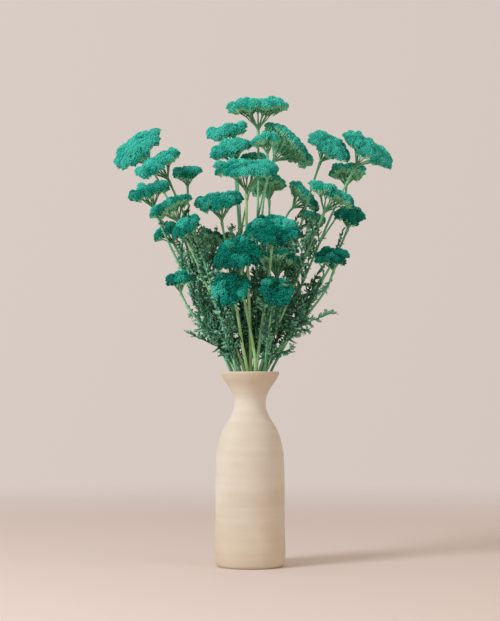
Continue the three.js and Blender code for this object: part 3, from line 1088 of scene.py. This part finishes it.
def leafTree(material):
    tree = newGeometryTree("fernyLeaves", {"Blade": None, "Seed": 0, **leafInputs})

    def waves(place, scale, strength):
        drift = tree.noise(place, scale, 1.0).output("Color")
        return tree.scaled(tree.vector("SUBTRACT", drift, (0.5,) * 3), strength)

    lines = tree.add("GeometryNodeMeshToCurve", {"Mesh": tree.entry["Geometry"]})
    loose = tree.read("along") * tree.entry["Crinkle"]
    position = tree.add("GeometryNodeInputPosition")
    lines = tree.moved(lines, Offset=waves(position, leafStyle["crinkleScale"], loose))
    count = tree.add("GeometryNodeAttributeDomainSize", {"Geometry": lines}, component="CURVE")
    spots = {"Count": count.output("Spline Count"), "Position": (0, 0, 0)}
    blades = tree.add("GeometryNodeInstanceOnPoints", {
        "Points": tree.add("GeometryNodePoints", spots), "Instance": tree.mesh("Blade"),
    })
    index = tree.add("GeometryNodeInputIndex")
    blades = tree.store(blades, "leaf", index, "INSTANCE", "INT")
    blades = tree.add("GeometryNodeRealizeInstances", {"Geometry": blades})
    leaf = tree.read("leaf", "INT")

    def sampled(name, factor, kind="FLOAT"):
        return tree.add("GeometryNodeSampleCurve", {
            "Curves": lines, "Factor": factor, "Curve Index": leaf, "Value": tree.read(name, kind),
        }, mode="FACTOR", data_type=kind)

    def lobeDrawn(shift):  # one number for each lobe of each leaf
        number = tree.read("lobe") + leaf * 23 + tree.entry["Seed"] * 311 + shift
        return tree.add("ShaderNodeTexWhiteNoise", {"W": number}, noise_dimensions="1D")

    along, across, above = tree.axes(tree.add("GeometryNodeInputPosition"))
    side = across.maths("ABSOLUTE")
    begin = sampled("begin", 0.5)
    factor = begin + (1 - begin) * along
    spot = sampled("blade", factor, "FLOAT_VECTOR")
    reach = sampled("reach", factor)
    face = tree.vector("NORMALIZE", tree.vector("CROSS_PRODUCT", spot.output("Tangent"), spot))
    smallest, largest = tree.entry["Smallest Lobe"], tree.entry["Largest Lobe"]
    size = (smallest + (largest - smallest) * lobeDrawn(0.01)) * reach
    bend = sampled("fold", factor) + (lobeDrawn(0.02) - 0.5) * tree.entry["Lobe Fold"]
    bend = bend + side * (lobeDrawn(0.03) - 0.4) * 2 * tree.entry["Lobe Curl"]
    wide = across * bend.maths("COSINE") * size
    high = side * bend.maths("SINE") * size + above * reach
    place = tree.vector("ADD", spot.output("Position"), tree.scaled(spot, wide))
    place = tree.vector("ADD", place, tree.scaled(face, high))
    uneven = side * tree.entry["Unevenness"]
    place = tree.vector("ADD", place, waves(place, leafStyle["unevennessScale"], uneven))
    # the distance from the rib: the material paints edges lighter and the hollows by the rib darker,
    # as painted light and shade
    blades = tree.store(blades, "edge", side)
    blades = tree.store(blades, "tone", sampled("tone", 0.5))
    ribs = tree.tube(lines, tree.circle(leafStyle["ribSides"]))
    whole = tree.smoothed(ribs, tree.moved(blades, Position=place))
    return endGeometryTree(tree, whole, material)


leafShades = {
    "light": colour(156, 222, 190),
    "mid": colour(98, 168, 134),
    "dark": colour(36, 88, 62),
    "driftScale": 40.0,
    "grainScale": 900.0,
    "bright": (0.5, 0.35, 0.5),
    "grainShare": 0.2,
    "midSpan": (0.25, 0.75),
    "lightSpan": (0.7, 1.15),
    "bump": (0.5, 0.0003),
    "roughness": (0.7, 0.2),
    "specular": 0.3,
}


def leafMaterial():  # curled edges are painted lighter as painted highlight, and the hollows by the rib darker as painted shade
    shades = leafShades
    material, tree = newMaterial("driedLeaf")
    place = tree.place()
    drift = tree.noise(place, shades["driftScale"])
    grain = tree.noise(place, shades["grainScale"])
    # the edge share brings painted light and shade; the other two vary at random
    bright = tree.weighed(shades["bright"], drift, tree.painted("tone"), tree.painted("edge"))
    base = tree.blend(bright, shades["midSpan"], shades["dark"], shades["mid"])
    bright = bright + grain * shades["grainShare"]
    base = tree.blend(bright, shades["lightSpan"], base, shades["light"])
    finishMaterial(tree, base, grain, grain, shades)
    return material


def leafStations(leaf):  # evenly spaced places on the arch with the blade's way and its reach there
    line = roundedLine(leaf["path"], leafStyle["steps"])
    lengths = np.cumsum([0] + [(b - a).length for a, b in zip(line, line[1:])])
    last = leafStyle["points"] - 1
    thick, thin = leafStyle["ribGirth"]
    lead, length, power = leafStyle["taper"]
    stations = []
    for k in range(last + 1):
        share = k / last
        i = min(int(np.searchsorted(lengths, share * lengths[-1])), len(line) - 1)
        heading = (line[min(i + 1, len(line) - 1)] - line[max(i - 1, 0)]).normalized()
        blade = leaf["blades"][0].lerp(leaf["blades"][1], share)
        blade = (blade - heading * blade.dot(heading)).normalized()
        grown = max(0.0, (share - leaf["begin"]) / (1 - leaf["begin"]))
        swell = math.sin(math.pi * min(1, (grown + lead) / length)) ** power
        stations.append({
            "place": line[i], "blade": blade, "reach": leaf["reach"] * swell,
            "girth": thick + (thin - thick) * share, "along": share,
            "fold": leaf["fold"], "tone": leaf["tone"], "begin": leaf["begin"],
        })
    return stations


def growLeaves(order, plant, leaves, draw):
    hub = plant.heads[0].hub
    inside = hub.x > smallLeaves["middle"][0] and hub.y > smallLeaves["middle"][1]
    count = smallLeaves["middleCount" if inside else "count"]
    extra = [drawnLeaf(plant, draw, smallLeaves) for _ in range(count)]
    extra += [drawnLeaf(plant, draw, longLeaves) for _ in range(longLeaves["count"])]
    leaves += filter(hasRoom, extra)
    for leaf in leaves:
        leaf["fold"] = draw.uniform(*leafStyle["fold"])
    for leaf in leaves:
        leaf["tone"] = draw.random()
    mesh = lineMesh("leafLines", leafAttributes, [leafStations(leaf) for leaf in leaves])
    values = {"Blade": bladeObject, "Seed": order, **leafInputs}
    handOver(grow(f"foliage_{plant.number}", mesh, leafGrower, values), plant.stemName)
    return len(leaves)


frondRows = placedFronds()
bladeObject = bpy.data.objects.new("blade", bladeMesh())
leafGrower = leafTree(leafMaterial())
leafCount = 0
for order, plant in enumerate(plants):
    packed = packedLeaves(plant)
    if packed:
        leafCount += growLeaves(order, plant, packed + frondRows[order], random.Random(700 + order))
bpy.data.objects.remove(bladeObject)
print("leaves grown:", leafCount)

# Vase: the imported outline, rounded and turned, with faint rings left by the potter's fingers

vaseInputs = {"Around": 96, "Rings": 170.0, "Ring Depth": 0.0002, "Wobble": 0.0009}
vaseStyle = {
    "steps": 6,
    "rowGap": 0.0034,
    "ringSpread": 0.3,
    "wobbleSpread": 0.8,
    "wobbleScale": 9,
    "calm": (0.002, 0.03),
    "still": (0.0, 0.01),
    "join": 0.00005,
}


def vaseOutline():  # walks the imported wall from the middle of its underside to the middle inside
    solid = joinedCopy("vase")
    column = {v for v in solid.verts if abs(v.co.x) < 1e-5 and v.co.y < 1e-5}
    spot = min(column, key=lambda v: (round(-v.co.y, 5), v.co.z))
    outline = []
    while spot:
        column.remove(spot)
        outline.append(Vector((-spot.co.y, 0, spot.co.z)))
        near = [e.other_vert(spot) for e in spot.link_edges if e.other_vert(spot) in column]
        spot = near[0] if near else None
    solid.free()
    wall = [outline[0], *roundedLine(outline[1:-1], vaseStyle["steps"]), outline[-1]]
    rows = []
    for a, b in zip(wall, wall[1:]):
        parts = max(1, math.ceil((b - a).length / vaseStyle["rowGap"]))
        rows += [a.lerp(b, k / parts) for k in range(parts)]
    return [*rows, wall[-1]]


def vaseTree(material):
    tree = newGeometryTree("thrownVase", {"Rows": 0, **vaseInputs})
    grid = tree.add("GeometryNodeMeshGrid", {
        "Size X": math.tau, "Size Y": 1.0,
        "Vertices X": tree.entry["Around"] + 1, "Vertices Y": tree.entry["Rows"],
    })
    index = tree.add("GeometryNodeInputIndex")
    position = tree.add("GeometryNodeInputPosition")
    row = tree.add("GeometryNodeSampleIndex", {
        "Geometry": tree.entry["Geometry"], "Value": position,
        "Index": index.maths("MODULO", index, tree.entry["Rows"]),
    }, data_type="FLOAT_VECTOR", domain="POINT")
    turn = tree.axes(position)[0]
    wall, _, height = tree.axes(row)
    across, along = turn.maths("COSINE"), turn.maths("SINE")

    def drift(spread, rise):
        place = tree.point(across * spread, along * spread, height * rise)
        return tree.noise(place, 1.0, 1.0) - 0.5

    rings = drift(vaseStyle["ringSpread"], tree.entry["Rings"]) * tree.entry["Ring Depth"]
    wobble = drift(vaseStyle["wobbleSpread"], vaseStyle["wobbleScale"]) * tree.entry["Wobble"]
    uneven = (rings + wobble) * tree.span(height, *vaseStyle["calm"])
    radius = wall + uneven * tree.span(wall, *vaseStyle["still"])
    turned = tree.moved(grid, Position=tree.point(radius * across, radius * along, height))
    ends = {"Geometry": turned, "Distance": vaseStyle["join"]}
    closed = tree.add("GeometryNodeMergeByDistance", ends)
    return endGeometryTree(tree, tree.smoothed(closed), material)


clayShades = {
    "clay": colour(209, 199, 180),
    "pale": colour(220, 214, 199),
    "warm": colour(196, 172, 140),
    "speck": colour(156, 132, 106),
    "driftScale": 14.0,
    "grainScale": 1300.0,
    "speckScale": 520.0,
    "cloudy": (0.7, 0.4),
    "relief": (0.6, 0.3),
    "paleSpan": (0.35, 0.75),
    "lineScale": (5.0, 5.0, 300.0),
    "lineSpan": (0.5, 0.8, 0.0, 0.18),
    "broadScale": (4.0, 4.0, 70.0),
    # painted light: a warm bounce tint low on the vase
    "footSpan": (0.0, 0.12, 0.35, 0.0),
    # painted shade: browner under the flaring mouth, which faces down
    "mouthSpan": (0.235, 0.275, 0.0, 0.4),
    "lipSpan": (0.2795, 0.2815, 0.0, 0.8),
    "speckSpan": (0.68, 0.78, 0.0, 0.25),
    "bump": (0.22, 0.0004),
    "roughness": (0.75, 0.18),
    "specular": 0.3,
}


def vaseMaterial():  # warmer at its foot as painted warm bounce light from below, browner under its mouth as painted shade, with a pale lip
    shades = clayShades
    material, tree = newMaterial("stoneware")
    place = tree.place()
    height = tree.axes(place)[2]
    drift = tree.noise(place, shades["driftScale"], 3.0, 0.6)
    lines = tree.noise(place, shades["lineScale"], 2.0, 0.6)
    broad = tree.noise(place, shades["broadScale"], 1.0)
    grain = tree.noise(place, shades["grainScale"])
    specks = tree.noise(place, shades["speckScale"], 1.0)
    cloudy = tree.weighed(shades["cloudy"], drift, broad)
    base = tree.blend(cloudy, shades["paleSpan"], shades["clay"], shades["pale"])
    # the foot layer is painted warm bounce light and the mouth layer painted shade under the flare
    layers = (
        (lines, "line", "warm"), (height, "foot", "warm"), (height, "mouth", "warm"),
        (height, "lip", "pale"), (specks, "speck", "speck"),
    )
    for value, part, shade in layers:
        base = tree.blend(value, shades[part + "Span"], base, shades[shade])
    finishMaterial(tree, base, tree.weighed(shades["relief"], lines, grain), grain, shades)
    return material


wall = vaseOutline()
vaseMesh = newMesh("vaseOutline", wall)
vase = grow("vase_turned", vaseMesh, vaseTree(vaseMaterial()), {"Rows": len(wall), **vaseInputs})
handOver(vase, "vase")
print("vase turned:", len(wall), "rows")

# Floor, light and camera

stageStyle = {
    "backdrop": colour(222, 209, 201),
    "glow": 0.82,
    "glowWay": (-0.12, 0.10, 0.05),
    "floorRadius": 6.0,
    "floorSides": 96,
    "floorFade": (0.5, 2.2),
    "aim": (0.0, 0.0, 0.40),
}
lamps = {
    "key": {"place": (-1.7, -1.4, 1.6), "size": 0.8, "watts": 43, "tint": (246, 249, 255)},
    "fill": {"place": (1.9, -1.2, 0.9), "size": 1.6, "watts": 8, "tint": (255, 228, 196)},
}
view = {"distance": 2.322, "height": 0.2494, "pitch": 2.95, "lens": 92.75, "far": 50}


def floorMaterial():  # fades out before the horizon
    material, tree = newMaterial("paleFloor")
    reach = tree.vector("LENGTH", tree.place()).output("Value")
    blended = tree.add("ShaderNodeMixShader", {
        0: tree.span(reach, *stageStyle["floorFade"]),
        1: tree.add("ShaderNodeBsdfDiffuse", {"Color": stageStyle["backdrop"]}),
        2: tree.add("ShaderNodeBsdfTransparent"),
    })
    tree.add("ShaderNodeOutputMaterial", {"Surface": blended})
    return material


def addFloor():
    disc = bmesh.new()
    sides, radius = stageStyle["floorSides"], stageStyle["floorRadius"]
    bmesh.ops.create_circle(disc, cap_ends=True, segments=sides, radius=radius)
    floor = linked("floor", keptMesh("floor", disc))
    floor.data.materials.append(floorMaterial())


def addLamp(name, style):
    lamp = linked(name, bpy.data.lights.new(name, "AREA"))
    lamp.data.size = style["size"]
    lamp.data.energy = style["watts"]
    lamp.data.color = colour(*style["tint"])[:3]
    lamp.location = style["place"]
    aim = Vector(stageStyle["aim"]) - lamp.location
    lamp.rotation_euler = aim.to_track_quat("-Z", "Y").to_euler()


def addSky():
    world = bpy.data.worlds.new("studio")
    world.use_nodes = True
    world.node_tree.nodes.clear()
    tree = Tree(world.node_tree)
    way = tree.add("ShaderNodeTexCoord").output("Generated")
    lean = tree.vector("DOT_PRODUCT", way, stageStyle["glowWay"]).output("Value")
    glow = {"Color": stageStyle["backdrop"], "Strength": stageStyle["glow"] + lean}
    tree.add("ShaderNodeOutputWorld", {"Surface": tree.add("ShaderNodeBackground", glow)})
    scene.world = world


def addCamera():
    camera = linked("camera", bpy.data.cameras.new("camera"))
    camera.location = (0, -view["distance"], view["height"])
    camera.rotation_euler = (math.radians(90 + view["pitch"]), 0, 0)
    camera.data.lens = view["lens"]
    camera.data.clip_end = view["far"]
    scene.camera = camera


addFloor()
for name, style in lamps.items():
    addLamp(name, style)
addSky()
addCamera()
scene.view_settings.view_transform = "Standard"
print("stage set")
